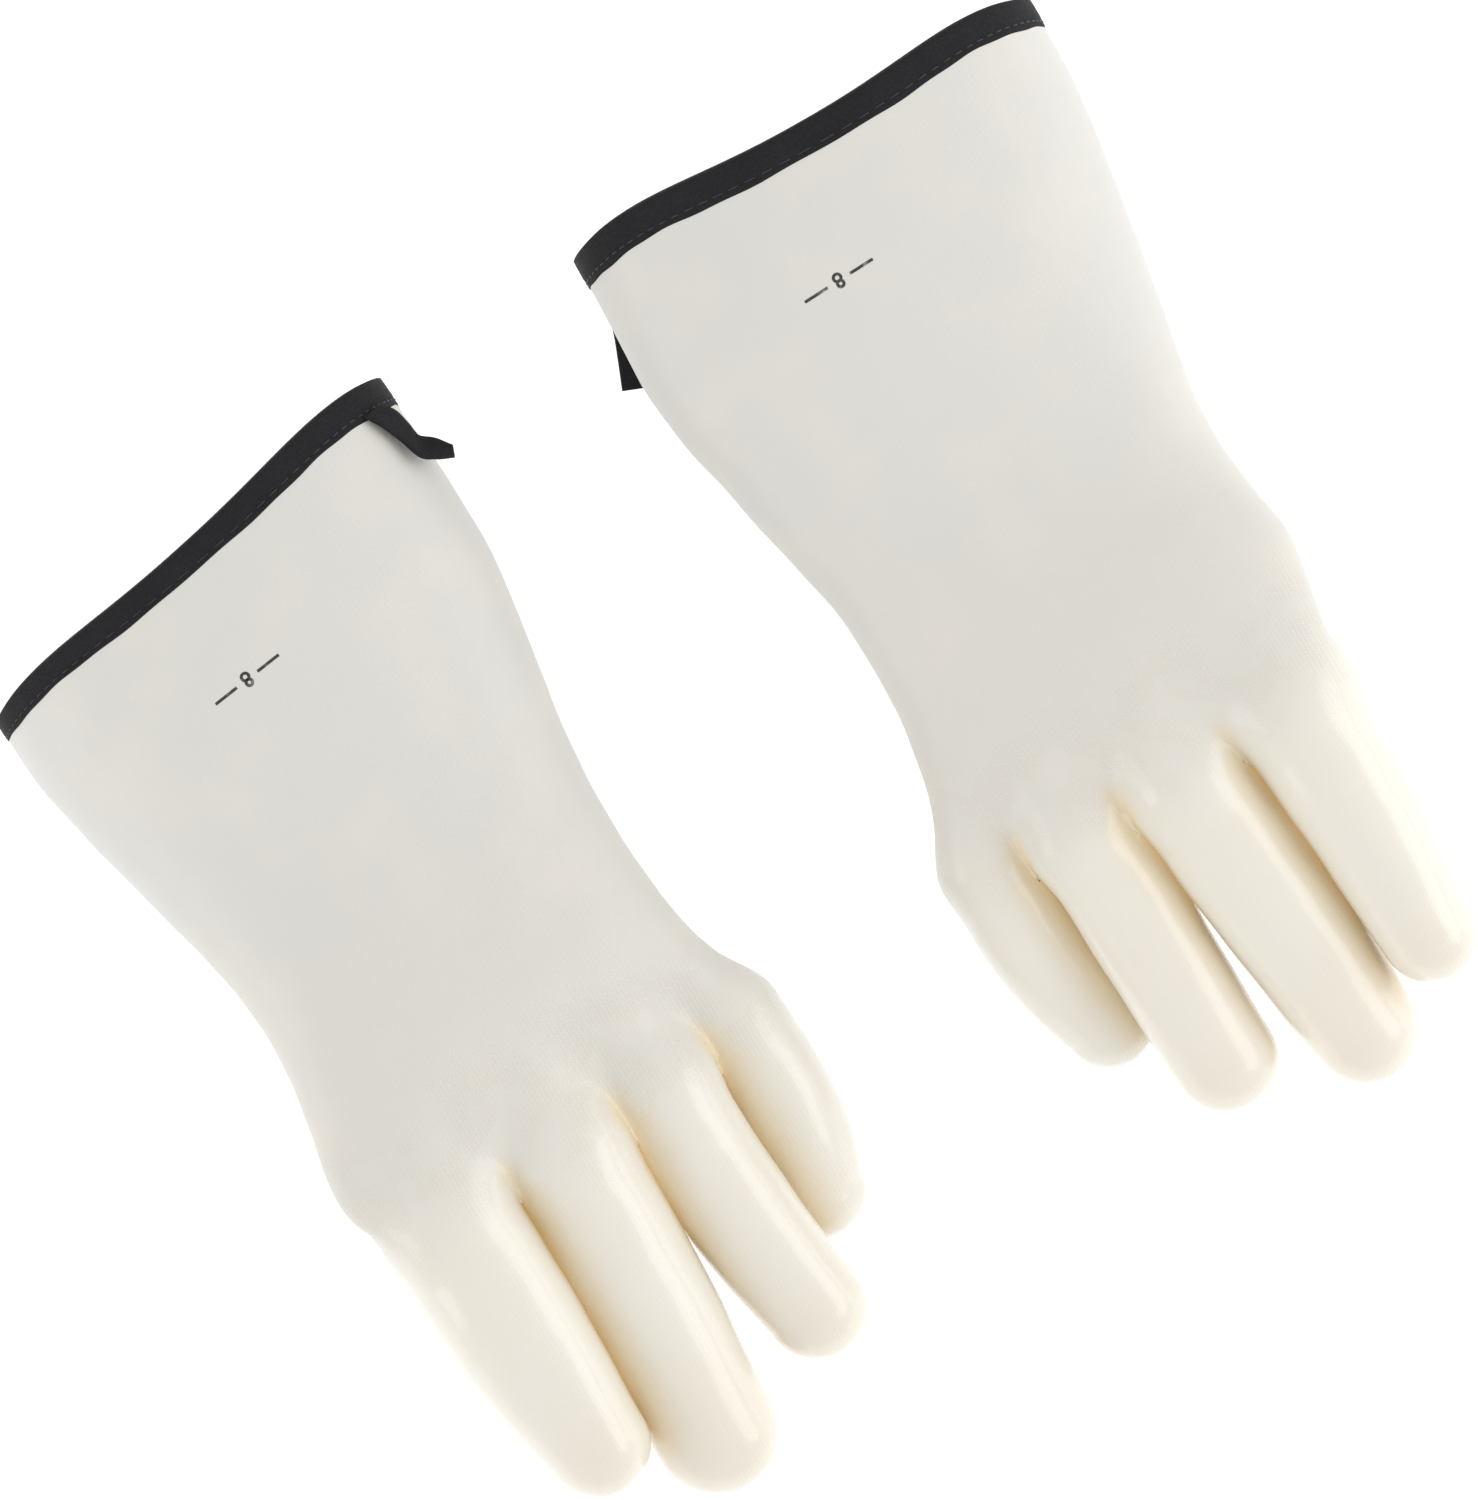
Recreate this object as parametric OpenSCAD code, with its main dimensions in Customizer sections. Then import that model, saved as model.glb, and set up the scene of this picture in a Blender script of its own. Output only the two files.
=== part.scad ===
// A pair of dipped rubber insulating gloves with a knitted lining, lying palm down side by side.
// Each glove is drawn once, as the right glove in its own frame: X towards the thumb side,
// Y = 0 at the cuff mouth with the fingers towards -Y, Z up from the surface it lies on.
// The left glove is the mirror image. The pair's origin is on that surface, midway between the gloves.

/* [Pair] */
// Distance between the centre lines of the two gloves
glove_pitch = 179; // [150:1:260]
// Distance from the pair's origin to the cuff mouths
mouth_y = 132; // [120:1:150]

/* [Cuff and hand] */
// Width of the cuff at its mouth
cuff_w = 126; // [112:1:132]
// Height of the open cuff at its mouth
cuff_h = 61; // [52:1:61]
// Width of the wrist, the narrowest place
wrist_w = 100; // [92:1:106]
// Width of the palm across the thumb root
palm_w = 111; // [104:1:114]
// Thickness of the palm, back to front
palm_h = 34; // [30:1:36]
// How much further the little-finger side of the cuff mouth reaches on the right glove
right_rim_slant = 3; // [0:1:20]
// The same on the left glove, which was trimmed more askew
left_rim_slant = 20; // [0:1:24]
// How much shorter the left cuff is
left_rim_trim = 9.5; // [0:0.5:16]
// How far the mouth's edge stands out between the middle of each face and the two sides
rim_wave = 3; // [0:0.5:5]

/* [Walls] */
// Thickness of the dipped rubber
rubber_t = 1.5; // [1:0.1:2]
// Thickness of the knitted lining
lining_t = 1; // [0.6:0.1:1.2]

/* [Binding] */
// Width of the tape that shows on the outside of the cuff
tape_w = 7.2; // [5:0.1:9]
// Thickness of one layer of the tape
tape_t = 0.9; // [0.6:0.1:1.2]
// Distance of the stitch row from the tape's lower edge
stitch_inset = 1.6; // [1.2:0.1:3]
// Number of stitches round one cuff
stitch_count = 92; // [60:1:110]
// Diameter of the thread
thread_d = 0.6; // [0.4:0.1:0.8]

/* [Fingers] */
// Length of the index finger from its knuckle to its tip
index_l = 78.6; // [72:0.2:84]
// Length of the middle finger
middle_l = 93.4; // [86:0.2:98]
// Length of the ring finger
ring_l = 81; // [74:0.2:86]
// Length of the little finger
little_l = 62.6; // [56:0.2:67]
// Length of the thumb from its root fold to its tip
thumb_l = 50.4; // [46:0.2:51]
// Radius of the thickest finger at its middle joint
finger_r = 15.2; // [13.6:0.1:15.2]

/* [Hidden] */
LEFT = -1;
RIGHT = 1;

// Hollow sections of cuff and hand, from the mouth to the knuckles:
// [y, centre x, centre z, half width, half height, roll towards the thumb side]
tape_gap = 0.05;
thread_proud = thread_d / 4;
mouth_z = tape_t + cuff_h / 2;
SECTIONS = [
    [   1,  1.7, mouth_z, cuff_w / 2, cuff_h / 2, 0],
    [ -35,  0.3, mouth_z, cuff_w / 2, cuff_h / 2 - 1, 0],
    [ -50, -0.5, mouth_z + 0.3, cuff_w / 2 - 2, cuff_h / 2 - 2.3, 0.5],
    [ -63, -0.5, mouth_z + 0.8, cuff_w / 2 - 4.2, cuff_h / 2 - 3.8, 1],
    [ -77, -0.5, mouth_z + 1.8, wrist_w / 2 + 6.2, cuff_h / 2 - 5.6, 2],
    [ -91, -1.0, mouth_z + 3.2, wrist_w / 2 + 3.3, cuff_h / 2 - 7.2, 3.5],
    [-107, -1.5, mouth_z + 5.4, wrist_w / 2 + 0.8, palm_h / 2 + 5, 6],
    [-118, -2.1, mouth_z + 8.4, wrist_w / 2, palm_h / 2 + 3, 8],
    [-130, -2.1, mouth_z + 12, wrist_w / 2 + 0.8, palm_h / 2 + 1, 11],
    [-144, -1.9, mouth_z + 14, palm_w / 2 - 2.6, palm_h / 2 - 0.4, 13],
    [-156, -3.4, mouth_z + 13.4, palm_w / 2 - 1.4, palm_h / 2 - 2, 15],
    [-168, -5.4, mouth_z + 12, palm_w / 2 + 0.4, palm_h / 2 - 5.4, 16]
];
CENTRE_X = [for (s = SECTIONS) [s[0], s[1]]];
CENTRE_Z = [for (s = SECTIONS) [s[0], s[2]]];
HALF_W = [for (s = SECTIONS) [s[0], s[3]]];
HALF_H = [for (s = SECTIONS) [s[0], s[4]]];
ROLL = [for (s = SECTIONS) [s[0], s[5]]];
ring_steps = 32;
corner_power = 0.88;
slant_reach = 70;
rim_lift = 3.6;

// Wrist fold, where the cuff bends against the hand
wrist_y = -107;
wrist_half = 7;
palm_end_y = -166;
cuff_end_y = wrist_y + wrist_half;
hand_start_y = wrist_y - wrist_half;
body_gap = 0.3;
lining_gap = 0.1;
CUFF_YS = [0, -35, -50, -63, -77, -91, cuff_end_y];
HAND_YS = [hand_start_y, -118, -130, -144, -156, palm_end_y];
crease_depth = 0.5;

// A finger is [knuckle point, direction, length, radii at knuckle, middle joint and tip,
// place of the middle joint along the straight part, root point inside the palm]
knuckle_half = 7.5;
joint_half = 6.5;
dome_steps = 7;
INDEX = [[33.4, -180, 49.4], [-1.6, -72, -5], index_l, [15.6, finger_r + 0.2, 13.2], 0.5, [29, -152, 49.5]];
MIDDLE = [[-0.8, -182, 43.8], [7.2, -83.5, -15], middle_l, [14.8, finger_r + 0.2, 14.6], 0.5, [0, -152, 45.5]];
RING = [[-28.8, -180, 37.2], [-1.4, -74.5, -9.8], ring_l, [12.8, finger_r - 1.6, 13.1], 0.5, [-25.5, -152, 39]];
LITTLE = [[-53.6, -175.5, 26.4], [4.2, -57.5, -16.4], little_l, [12.6, finger_r - 2.4, 11.5], 0.5, [-42, -148, 34.5]];
THUMB = [[37, -133, 22], [-9, -35, -9], thumb_l, [12.6, 13, 12.6], 0.5, [31, -121, 41]];
FOUR_FINGERS = [INDEX, MIDDLE, RING, LITTLE];
thumb_half = 6.5;
thumb_root_r = 8;
root_share = 1.08;
root_sides = 15;

// Loose end of the binding: where on the section it leaves the tape, and steps [x, y, z] of its
// middle line from there
LEFT_TAIL = [152, [[0, 0, 0], [-0.6, -8, 0.8], [-4, -15, 1], [-11.5, -18.5, -3.5]]];
RIGHT_TAIL = [196, [[0, 0, 0], [-3, -9, -2], [-6, -18, -3.5], [-7, -25, -5], [-2.5, -29, -8]]];
tail_w = 6;

rubber_colour = [0.88, 0.86, 0.82];
fold_colour = [0.84, 0.82, 0.77];
lining_colour = [0.93, 0.93, 0.91];
tape_colour = [0.13, 0.13, 0.14];
thread_colour = [0.2, 0.2, 0.21];

// How far the mouth's edge is moved at x, and how that fades out towards the wrist
function rim_slope(side) = -(side == RIGHT ? right_rim_slant : left_rim_slant) / cuff_w;
function rim_shift(side, x, a) =
    rim_lift - (side == RIGHT ? 0 : left_rim_trim) + rim_slope(side) * x + rim_wave * pow(sin(2 * a), 2);
function slant_share(y) = min(1, max(0, 1 + y / slant_reach));

// Rounded-oval power curve
function bulge(v) = sign(v) * pow(abs(v), corner_power);

// Point of the skin at station y, a given depth under the surface, at angle a round the section
function skin(side, y, depth, a) =
    let (
        u = (lookup(y, HALF_W) - depth) * bulge(cos(a)),
        v = (lookup(y, HALF_H) - depth) * bulge(sin(a)),
        roll = lookup(y, ROLL),
        x = lookup(y, CENTRE_X) + u * cos(roll) - v * sin(roll),
        z = lookup(y, CENTRE_Z) + u * sin(roll) + v * cos(roll)
    )
    [x, y + slant_share(y) * rim_shift(side, x, a), z];

// Closed outline of [y, depth] pairs carried once round the sections
module ring_wall(side, outline) {
    n = len(outline);
    points = [for (i = [0:ring_steps - 1]) for (p = outline) skin(side, p[0], p[1], i * 360 / ring_steps)];
    faces = [for (i = [0:ring_steps - 1]) for (j = [0:n - 1])
        let (
            a = i * n + j,
            b = i * n + (j + 1) % n,
            c = ((i + 1) % ring_steps) * n + (j + 1) % n,
            d = ((i + 1) % ring_steps) * n + j
        )
        each [[a, b, c], [a, c, d]]];
    polyhedron(points, faces);
}

// Outline of a wall between two depths, along the stations ys
function wall_outline(ys, outer, inner) = concat(
    [for (y = ys) [y, outer]],
    [for (i = [len(ys) - 1:-1:0]) [ys[i], inner]]);

// Solid inside the skin along the stations ys, closed flat at both ends
module skin_solid(side, ys, depth) {
    n = ring_steps;
    last = len(ys) - 1;
    points = [for (y = ys) for (i = [0:n - 1]) skin(side, y, depth, i * 360 / n)];
    walls = [for (k = [0:last - 1]) for (i = [0:n - 1])
        let (
            a = k * n + i,
            b = k * n + (i + 1) % n,
            c = (k + 1) * n + (i + 1) % n,
            d = (k + 1) * n + i
        )
        each [[a, c, b], [a, d, c]]];
    first_cap = [for (i = [0:n - 1]) i];
    last_cap = [for (i = [n - 1:-1:0]) last * n + i];
    polyhedron(points, concat(walls, [first_cap, last_cap]));
}

// Places a glove of the pair
module glove(side) {
    translate([side * glove_pitch / 2, mouth_y, 0])
        mirror([side == LEFT ? 1 : 0, 0, 0])
            children();
}

// Finger geometry: distances run along the finger's axis from its knuckle
function aim(f) = f[1] / norm(f[1]);
function straight(f) = f[2] - f[3][2];
function joint_at(f) = straight(f) * f[4];
function radius_at(f, s) =
    s <= 0 ? f[3][0]
    : s < joint_at(f) ? f[3][0] + (f[3][1] - f[3][0]) * s / joint_at(f)
    : f[3][1] + (f[3][2] - f[3][1]) * (s - joint_at(f)) / (straight(f) - joint_at(f));

// Puts local Z along the finger, starting at its knuckle
module on_finger(f) {
    d = aim(f);
    translate(f[0])
        rotate([0, acos(d[2]), atan2(d[1], d[0])])
            children();
}

// Tube along the finger between two distances, between two depths under its skin
module finger_tube(f, from, to, outer, inner) {
    rotate_extrude($fn = 64)
        polygon([
            [radius_at(f, from) - inner, from],
            [radius_at(f, from) - outer, from],
            [radius_at(f, to) - outer, to],
            [radius_at(f, to) - inner, to]
        ]);
}

// Points of the rounded fingertip at a given depth, from the straight part to the end
function dome(f, depth) = [for (i = [0:dome_steps])
    let (a = 90 * i / dome_steps, r = f[3][2] - depth)
    [i == dome_steps ? 0 : r * cos(a), straight(f) + r * sin(a)]];

// Closed fingertip from a distance to its end
module finger_cap(f, from, outer, inner) {
    inside = dome(f, inner);
    rotate_extrude($fn = 64)
        polygon(concat(
            [[radius_at(f, from) - inner, from], [radius_at(f, from) - outer, from]],
            dome(f, outer),
            [for (i = [dome_steps:-1:0]) inside[i]]
        ));
}

// Thin ring with two shallow creases, where the rubber folds
module fold_ring(f, at, half) {
    from = at - half;
    to = at + half - body_gap;
    pleat = (to - from) / 4;
    rotate_extrude($fn = 64)
        polygon(concat(
            [[radius_at(f, from) - rubber_t, from]],
            [for (i = [0:4]) [radius_at(f, from + i * pleat) - (i % 2) * crease_depth, from + i * pleat]],
            [[radius_at(f, to) - rubber_t, to]]
        ));
}

module cuff_shell(side) {
    color(rubber_colour)
        glove(side)
            ring_wall(side, wall_outline(CUFF_YS, 0, rubber_t));
}

module cuff_lining(side) {
    outer = rubber_t + lining_gap;
    color(lining_colour)
        glove(side)
            ring_wall(side, wall_outline(
                concat(CUFF_YS, [wrist_y, hand_start_y + body_gap]), outer, outer + lining_t));
}

// Tape folded over the rim: outside layer, top fold and inside layer
module cuff_binding(side) {
    wall = rubber_t + lining_gap + lining_t;
    color(tape_colour)
        glove(side)
            ring_wall(side, [
                [tape_gap, -tape_gap],
                [tape_gap, wall + tape_gap],
                [-tape_w, wall + tape_gap],
                [-tape_w, wall + tape_t],
                [tape_t, wall + tape_t],
                [tape_t, -tape_t],
                [-tape_w, -tape_t],
                [-tape_w, -tape_gap]
            ]);
}

// Tape end that was left long beside the little-finger corner of the cuff
module binding_tail(side) {
    tail = side == LEFT ? LEFT_TAIL : RIGHT_TAIL;
    root_depth = -1.5 * tape_t - thread_proud - body_gap;
    root_y = tape_t - tape_w;
    root = skin(side, root_y, root_depth, tail[0]);
    edge = skin(side, root_y, root_depth, tail[0] + 1) - root;
    lean = -atan2(edge[2], edge[0]);
    steps = tail[1];
    color(tape_colour)
        glove(side)
            for (i = [0:len(steps) - 2])
                hull()
                    for (step = [steps[i], steps[i + 1]])
                        translate(root + step)
                            rotate([0, lean, 0])
                                cube([tail_w, tape_t, tape_t], center = true);
}

// One row of short stitches pulled half into the tape
module binding_thread(side) {
    y = stitch_inset - tape_w;
    thread_sink = thread_d / 2 - thread_proud - tape_t;
    color(thread_colour)
        glove(side)
            for (i = [0:stitch_count - 1]) {
                start = skin(side, y, thread_sink, (i + 0.15) * 360 / stitch_count);
                end = skin(side, y, thread_sink, (i + 0.85) * 360 / stitch_count);
                run = end - start;
                translate(start)
                    rotate([0, acos(run[2] / norm(run)), atan2(run[1], run[0])])
                        cylinder(h = norm(run), d = thread_d, $fn = 16);
            }
}

// Band of the wrist with two soft creases
module wrist_fold(side) {
    from = cuff_end_y - body_gap;
    to = hand_start_y;
    pleat = (to - from) / 4;
    outer = [for (i = [0:4]) [from + i * pleat, (i % 2) * crease_depth]];
    inner = [[to, rubber_t], [wrist_y, rubber_t], [from, rubber_t]];
    color(fold_colour)
        glove(side)
            ring_wall(side, concat(outer, inner));
}

// Space inside the hand at a given depth: palm, four finger roots and the thumb root.
// reach carries the open ends past the rubber, so that a deeper space cuts clean openings.
module hand_space(side, depth, reach) {
    skin_solid(side, [for (y = HAND_YS)
        y == hand_start_y ? y + reach : y == palm_end_y ? y + depth : y], depth);
    for (f = FOUR_FINGERS)
        finger_root(f, depth, reach);
    thumb_root(depth, reach);
}

// Blend from inside the palm to the open end that a finger joins
module finger_root(f, depth, reach) {
    r = f[3][0] - depth;
    hull() {
        on_finger(f)
            translate([0, 0, -knuckle_half - 2])
                cylinder(h = 2 + reach, r = r, $fn = root_sides);
        translate(f[5] - f[0])
            on_finger(f)
                translate([0, 0, depth])
                    cylinder(h = 1, r = r * root_share, $fn = root_sides);
    }
}

// Ball of the thumb, cut flat where the thumb joins it
module thumb_root(depth, reach) {
    r = THUMB[3][0] - depth;
    beyond = 4 * r;
    difference() {
        hull() {
            on_finger(THUMB)
                translate([0, 0, -thumb_half])
                    sphere(r, $fn = root_sides);
            translate(THUMB[5])
                sphere(thumb_root_r - depth, $fn = root_sides);
        }
        on_finger(THUMB)
            translate([-beyond / 2, -beyond / 2, reach - thumb_half])
                cube(beyond);
    }
}

module hand_shell(side) {
    color(rubber_colour)
        glove(side)
            difference() {
                hand_space(side, 0, 0);
                hand_space(side, rubber_t, 1);
            }
}

module palm_lining(side) {
    outer = rubber_t + lining_gap;
    color(lining_colour)
        glove(side)
            difference() {
                hand_space(side, outer, 0);
                hand_space(side, outer + lining_t, 1);
            }
}

module knuckle_folds(side) {
    color(fold_colour)
        glove(side)
            for (f = FOUR_FINGERS)
                on_finger(f)
                    fold_ring(f, 0, knuckle_half);
}

module thumb_fold(side) {
    color(fold_colour)
        glove(side)
            on_finger(THUMB)
                fold_ring(THUMB, 0, thumb_half);
}

module lower_shell(side, f) {
    color(rubber_colour)
        glove(side)
            on_finger(f)
                finger_tube(f, knuckle_half, joint_at(f) - joint_half, 0, rubber_t);
}

module joint_fold(side, f) {
    color(fold_colour)
        glove(side)
            on_finger(f)
                fold_ring(f, joint_at(f), joint_half);
}

module tip_shell(side, f) {
    color(rubber_colour)
        glove(side)
            on_finger(f)
                finger_cap(f, joint_at(f) + joint_half, 0, rubber_t);
}

module finger_lining(side, f, half) {
    outer = rubber_t + lining_gap;
    color(lining_colour)
        glove(side)
            on_finger(f)
                finger_cap(f, body_gap - half, outer, outer + lining_t);
}

module thumb_shell(side) {
    color(rubber_colour)
        glove(side)
            on_finger(THUMB)
                finger_cap(THUMB, thumb_half, 0, rubber_t);
}

cuff_shell(LEFT);  // left_cuff_shell
cuff_lining(LEFT);  // left_cuff_lining
cuff_binding(LEFT);  // left_cuff_binding
binding_tail(LEFT);  // left_binding_tail
binding_thread(LEFT);  // left_binding_thread
wrist_fold(LEFT);  // left_wrist_fold
hand_shell(LEFT);  // left_hand_shell
palm_lining(LEFT);  // left_palm_lining
knuckle_folds(LEFT);  // left_knuckle_folds
lower_shell(LEFT, INDEX);  // left_index_lower_shell
joint_fold(LEFT, INDEX);  // left_index_joint_fold
tip_shell(LEFT, INDEX);  // left_index_tip_shell
finger_lining(LEFT, INDEX, knuckle_half);  // left_index_lining
lower_shell(LEFT, MIDDLE);  // left_middle_lower_shell
joint_fold(LEFT, MIDDLE);  // left_middle_joint_fold
tip_shell(LEFT, MIDDLE);  // left_middle_tip_shell
finger_lining(LEFT, MIDDLE, knuckle_half);  // left_middle_lining
lower_shell(LEFT, RING);  // left_ring_lower_shell
joint_fold(LEFT, RING);  // left_ring_joint_fold
tip_shell(LEFT, RING);  // left_ring_tip_shell
finger_lining(LEFT, RING, knuckle_half);  // left_ring_lining
lower_shell(LEFT, LITTLE);  // left_little_lower_shell
joint_fold(LEFT, LITTLE);  // left_little_joint_fold
tip_shell(LEFT, LITTLE);  // left_little_tip_shell
finger_lining(LEFT, LITTLE, knuckle_half);  // left_little_lining
thumb_shell(LEFT);  // left_thumb_shell
thumb_fold(LEFT);  // left_thumb_fold
finger_lining(LEFT, THUMB, thumb_half);  // left_thumb_lining
cuff_shell(RIGHT);  // right_cuff_shell
cuff_lining(RIGHT);  // right_cuff_lining
cuff_binding(RIGHT);  // right_cuff_binding
binding_tail(RIGHT);  // right_binding_tail
binding_thread(RIGHT);  // right_binding_thread
wrist_fold(RIGHT);  // right_wrist_fold
hand_shell(RIGHT);  // right_hand_shell
palm_lining(RIGHT);  // right_palm_lining
knuckle_folds(RIGHT);  // right_knuckle_folds
lower_shell(RIGHT, INDEX);  // right_index_lower_shell
joint_fold(RIGHT, INDEX);  // right_index_joint_fold
tip_shell(RIGHT, INDEX);  // right_index_tip_shell
finger_lining(RIGHT, INDEX, knuckle_half);  // right_index_lining
lower_shell(RIGHT, MIDDLE);  // right_middle_lower_shell
joint_fold(RIGHT, MIDDLE);  // right_middle_joint_fold
tip_shell(RIGHT, MIDDLE);  // right_middle_tip_shell
finger_lining(RIGHT, MIDDLE, knuckle_half);  // right_middle_lining
lower_shell(RIGHT, RING);  // right_ring_lower_shell
joint_fold(RIGHT, RING);  // right_ring_joint_fold
tip_shell(RIGHT, RING);  // right_ring_tip_shell
finger_lining(RIGHT, RING, knuckle_half);  // right_ring_lining
lower_shell(RIGHT, LITTLE);  // right_little_lower_shell
joint_fold(RIGHT, LITTLE);  // right_little_joint_fold
tip_shell(RIGHT, LITTLE);  // right_little_tip_shell
finger_lining(RIGHT, LITTLE, knuckle_half);  // right_little_lining
thumb_shell(RIGHT);  // right_thumb_shell
thumb_fold(RIGHT);  // right_thumb_fold
finger_lining(RIGHT, THUMB, thumb_half);  // right_thumb_lining
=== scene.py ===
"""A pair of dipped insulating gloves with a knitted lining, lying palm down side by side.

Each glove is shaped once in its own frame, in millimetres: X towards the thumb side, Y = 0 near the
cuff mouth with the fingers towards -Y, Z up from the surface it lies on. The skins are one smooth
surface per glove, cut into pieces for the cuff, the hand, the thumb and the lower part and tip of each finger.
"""

import functools
import math

import bpy
import numpy as np
from bpy.props import FloatProperty, FloatVectorProperty, IntProperty, PointerProperty
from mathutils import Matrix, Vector


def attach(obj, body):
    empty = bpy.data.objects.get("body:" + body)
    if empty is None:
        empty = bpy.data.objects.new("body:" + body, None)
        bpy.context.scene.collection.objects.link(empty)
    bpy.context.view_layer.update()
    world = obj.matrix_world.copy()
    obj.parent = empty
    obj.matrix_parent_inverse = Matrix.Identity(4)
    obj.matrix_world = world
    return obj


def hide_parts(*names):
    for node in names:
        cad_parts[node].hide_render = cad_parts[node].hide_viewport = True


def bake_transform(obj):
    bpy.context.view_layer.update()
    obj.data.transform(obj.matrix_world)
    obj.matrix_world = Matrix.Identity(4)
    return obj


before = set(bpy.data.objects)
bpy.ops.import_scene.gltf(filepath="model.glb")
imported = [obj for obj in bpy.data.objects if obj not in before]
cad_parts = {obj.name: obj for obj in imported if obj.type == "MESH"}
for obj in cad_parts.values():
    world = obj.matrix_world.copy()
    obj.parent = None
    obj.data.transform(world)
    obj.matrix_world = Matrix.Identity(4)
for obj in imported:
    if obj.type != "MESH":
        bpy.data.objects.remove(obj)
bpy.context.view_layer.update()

bl_info = {
    "name": "Insulating gloves",
    "version": (1, 0, 0),
    "blender": (4, 5, 0),
    "location": "View3D > Sidebar > Gloves",
    "description": "Builds a pair of dipped, lined gloves with a bound cuff",
    "category": "Add Mesh",
}

MM = 0.001
SIDES = {"left": -1, "right": 1}
GLOVE_PITCH = 179.0
MOUTH_Y = 132.0

# ---------------------------------------------------------------- shape of one glove

# Hollow sections: station along the glove, centre x, centre z, half width, half height, roll
SECTIONS = np.array([
    (-180, -6.6, 41.0, 57.0, 9.5, 17.0),
    (-168, -5.4, 42.8, 55.9, 11.0, 16.0),
    (-156, -3.4, 44.4, 54.1, 13.8, 15.0),
    (-144, -1.9, 45.4, 52.9, 16.2, 13.0),
    (-130, -2.1, 43.4, 50.8, 18.0, 11.0),
    (-118, -2.1, 39.8, 50.0, 20.0, 8.0),
    (-107, -1.5, 36.8, 50.8, 22.0, 6.0),
    (-91, -1.0, 34.6, 53.3, 23.3, 3.5),
    (-77, -0.5, 33.2, 56.2, 24.9, 2.0),
    (-63, -0.5, 32.2, 58.8, 26.7, 1.0),
    (-50, -0.5, 31.7, 61.0, 28.2, 0.5),
    (-35, 0.3, 31.4, 63.0, 29.5, 0.0),
    (1, 1.7, 31.4, 63.0, 30.5, 0.0),
    (12, 1.9, 31.4, 63.4, 30.6, 0.0),
])
OVAL_POWER = 2 / 0.88
PALM_END = -181.0
WALL = 2.6
STITCH_INSET = 1.6

# How each real glove differs from those sections: station, centre x, half width
OWN_SHAPE = {
    "left": np.array([
        (-180, 0.4, -1.5), (-168, 2.6, 0.5), (-156, 1.6, 0.6), (-144, -0.6, -0.5), (-130, -0.8, -0.6),
        (-118, -0.7, -0.5), (-107, -0.8, -0.7), (-91, -0.6, -0.8), (-77, -0.5, -0.7), (-63, -0.1, -0.6),
        (-50, -0.1, -0.6), (-35, 0.0, -1.2), (-20, 0.2, -1.1), (1, 0.4, -1.1), (12, 0.4, -1.1),
    ]),
    "right": np.array([
        (-180, 0.0, -2.5), (-168, 0.2, -1.7), (-156, 0.6, -0.1), (-144, 1.2, 0.7), (-130, 1.5, 0.7),
        (-118, 1.3, 0.5), (-107, 0.9, -0.1), (-91, 0.6, -0.1), (-77, 0.3, 0.0), (-63, 0.3, 0.1),
        (-50, 0.1, 0.7), (-35, 0.0, 0.7), (-20, 0.7, 0.9), (1, 0.8, 1.3), (12, 0.8, 1.5),
    ]),
}

# Cuff mouth: how far its middle lies past Y = 0, its slant over the cuff's width, and its wave
RIM = {"left": (-6.2, 24.0, 2.0), "right": (3.5, 3.4, 2.8)}
RIM_REACH = 70.0
CUFF_WIDTH = 126.0


class Finger:
    """A finger in the glove's frame. Widths, heights and shift are given at its knuckle, middle and tip."""

    def __init__(self, name, knuckle, along, joint, length, widths, heights, shift, lift=0.0, seam=0.0):
        self.knuckle = np.array(knuckle, float)
        self.along = np.array(along, float) / np.linalg.norm(along)
        self.joint = joint
        self.straight = length - heights[2]
        self.widths, self.heights, self.shift, self.lift = widths, heights, shift, lift
        self.root = np.array(ROOTS[name], float)
        self.thumbward = np.cross((0.0, 0.0, 1.0), self.along)
        self.thumbward /= np.linalg.norm(self.thumbward)
        self.upward = np.cross(self.thumbward, self.along) * -1
        self.seam = seam
        self.stub = heights[0] - (1.6 if name == "little" else 0.0)

    def point(self, s):
        return self.knuckle + self.along * s


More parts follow.
